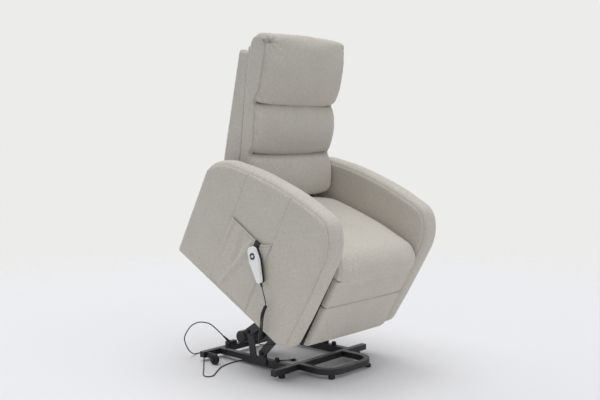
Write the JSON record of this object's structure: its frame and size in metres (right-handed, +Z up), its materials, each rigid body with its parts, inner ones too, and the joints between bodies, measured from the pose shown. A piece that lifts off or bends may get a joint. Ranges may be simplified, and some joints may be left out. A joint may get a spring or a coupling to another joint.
{
  "type": "lift recliner chair",
  "caption": "Powered lift recliner chair: upholstered seat, arms, back and footrest on a tilting lift linkage over a low steel base, with a corded two-button handset.",
  "frame": {"origin": "on the floor, midway between the two long rails, 55 mm behind the front cross tube of the base", "axes": "+Z up; the chair faces -Y; +X is towards the sitter's left; the chair is stored fully lifted and tilted forward, back upright and footrest folded"},
  "size_m": [0.8084, 0.8975, 1.4076],
  "materials": {
    "cover_fabric": "woven upholstery cloth",
    "frame_black": "satin powder coat",
    "zinc_steel": "satin",
    "dark_bolt": "black oxide",
    "red_plastic": "moulded",
    "black_rubber": "matte",
    "black_plastic": "textured",
    "pale_plastic": "satin",
    "button_plastic": "satin",
    "plywood": "bare",
    "webbing": "woven elastic",
    "rod_steel": "ground"
  },
  "bodies": {
    "base": {"base_rails": "frame_black", "base_front_tube": "frame_black", "base_rear_tube": "frame_black", "base_front_loop": "frame_black", "tube_end_caps": "black_plastic", "base_feet": "black_rubber", "lift_brackets": "frame_black", "lift_pivot_bolts": "dark_bolt", "pivot_washers": "red_plastic", "rail_bumpers": "black_rubber", "wheel_brackets": "frame_black", "actuator_clevis": "frame_black", "lead_coupler": "black_plastic", "lead_strain_relief": "black_rubber", "power_lead": "black_rubber", "lead_plug": "black_rubber"},
    "wheel_right": {"wheel_right": "black_rubber"},
    "wheel_left": {"wheel_left": "black_rubber"},
    "lift_arms": {"lift_arms": "frame_black", "torque_tube": "frame_black"},
    "front_link_right": {"front_link_right": "frame_black"},
    "front_link_left": {"front_link_left": "frame_black"},
    "chassis": {"mechanism_plates": "frame_black", "chassis_tubes": "frame_black", "chassis_pivot_plates": "frame_black", "chassis_bolts": "dark_bolt", "actuator_front_bracket": "frame_black", "right_arm": "cover_fabric", "left_arm": "cover_fabric", "arm_bolts": "zinc_steel", "seat_frame": "plywood", "seat_webbing": "webbing", "seat_cushion": "cover_fabric", "rear_panel": "cover_fabric", "side_pocket": "cover_fabric", "control_box": "black_plastic", "handset_front_shell": "pale_plastic", "handset_back_shell": "black_plastic", "handset_hook": "black_plastic", "handset_strain_relief": "black_rubber", "handset_cord": "black_rubber", "handset_coil": "black_rubber", "handset_tail": "black_rubber"},
    "back": {"back_shell": "cover_fabric", "back_brackets": "frame_black", "head_cushion": "cover_fabric", "mid_cushion": "cover_fabric", "lumbar_cushion": "cover_fabric"},
    "footrest_lower_links": {"footrest_lower_links": "frame_black"},
    "footrest_upper_links": {"footrest_upper_links": "frame_black"},
    "footrest": {"footrest_board": "plywood", "footrest_brackets": "frame_black", "footrest_upper_pad": "cover_fabric", "footrest_lower_pad": "cover_fabric"},
    "actuator": {"actuator_gearbox": "black_plastic", "actuator_motor": "black_plastic", "actuator_tube": "black_plastic"},
    "actuator_rod": {"actuator_rod": "rod_steel"},
    "button_up": {"button_up": "button_plastic"},
    "button_down": {"button_down": "button_plastic"}
  },
  "joints": [
    {"name": "lift", "type": "hinge", "parent": "base", "child": "lift_arms", "pos_m": [0, 0.174, 0.148], "axis": [1, 0, 0], "range_deg": [0, 39.25]},
    {"name": "chassis_tilt", "type": "hinge", "parent": "lift_arms", "child": "chassis", "pos_m": [0, -0.04844, 0.29748], "axis": [1, 0, 0], "range_deg": [-68.05, 0]},
    {"name": "front_link_right", "type": "hinge", "parent": "base", "child": "front_link_right", "pos_m": [-0.21, 0.094, 0.067], "axis": [1, 0, 0], "range_deg": [0, 42.63]},
    {"name": "front_link_left", "type": "hinge", "parent": "base", "child": "front_link_left", "pos_m": [0.21, 0.094, 0.067], "axis": [1, 0, 0], "range_deg": [0, 42.63]},
    {"name": "actuator_swing", "type": "hinge", "parent": "base", "child": "actuator", "pos_m": [0, 0.325, 0.052], "axis": [1, 0, 0], "range_deg": [0, 24.7]},
    {"name": "rod_slide", "type": "slide", "parent": "actuator", "child": "actuator_rod", "axis": [0, -0.7221, 0.6918], "range_m": [-0.093, 0]},
    {"name": "back_recline", "type": "hinge", "parent": "chassis", "child": "back", "pos_m": [0, 0.18732, 0.68224], "axis": [-1, 0, 0], "range_deg": [0, 35]},
    {"name": "footrest_lower", "type": "hinge", "parent": "chassis", "child": "footrest_lower_links", "pos_m": [0, -0.20584, 0.41262], "axis": [-1, 0, 0], "range_deg": [0, 63.5]},
    {"name": "footrest_upper", "type": "hinge", "parent": "footrest_lower_links", "child": "footrest_upper_links", "pos_m": [0, -0.0786, 0.29102], "axis": [-1, 0, 0], "range_deg": [-74.5, 0]},
    {"name": "footrest_board", "type": "hinge", "parent": "footrest_upper_links", "child": "footrest", "pos_m": [0, -0.26949, 0.40436], "axis": [-1, 0, 0], "range_deg": [0, 96.5]},
    {"name": "button_up_press", "type": "slide", "parent": "chassis", "child": "button_up", "axis": [1, 0, 0], "range_m": [0, 0.0012], "stiffness_N_per_m": 1500},
    {"name": "button_down_press", "type": "slide", "parent": "chassis", "child": "button_down", "axis": [1, 0, 0], "range_m": [0, 0.0012], "stiffness_N_per_m": 1500},
    {"name": "wheel_right_roll", "type": "hinge", "parent": "base", "child": "wheel_right", "pos_m": [-0.293, 0.3, 0.0215], "axis": [1, 0, 0], "continuous": true},
    {"name": "wheel_left_roll", "type": "hinge", "parent": "base", "child": "wheel_left", "pos_m": [0.293, 0.3, 0.0215], "axis": [1, 0, 0], "continuous": true}
  ],
  "couplings": [
    {"joint": "chassis_tilt", "follows": "lift", "ratio": -1.721},
    {"joint": "front_link_right", "follows": "lift", "ratio": 1.0733},
    {"joint": "front_link_left", "follows": "lift", "ratio": 1.0733},
    {"joint": "actuator_swing", "follows": "lift", "ratio": 0.61652},
    {"joint": "rod_slide", "follows": "lift", "m_per_rad": -0.13429},
    {"joint": "footrest_lower", "follows": "back_recline", "ratio": 1.8},
    {"joint": "footrest_upper", "follows": "back_recline", "ratio": -2.1143},
    {"joint": "footrest_board", "follows": "back_recline", "ratio": 2.7429}
  ]
}
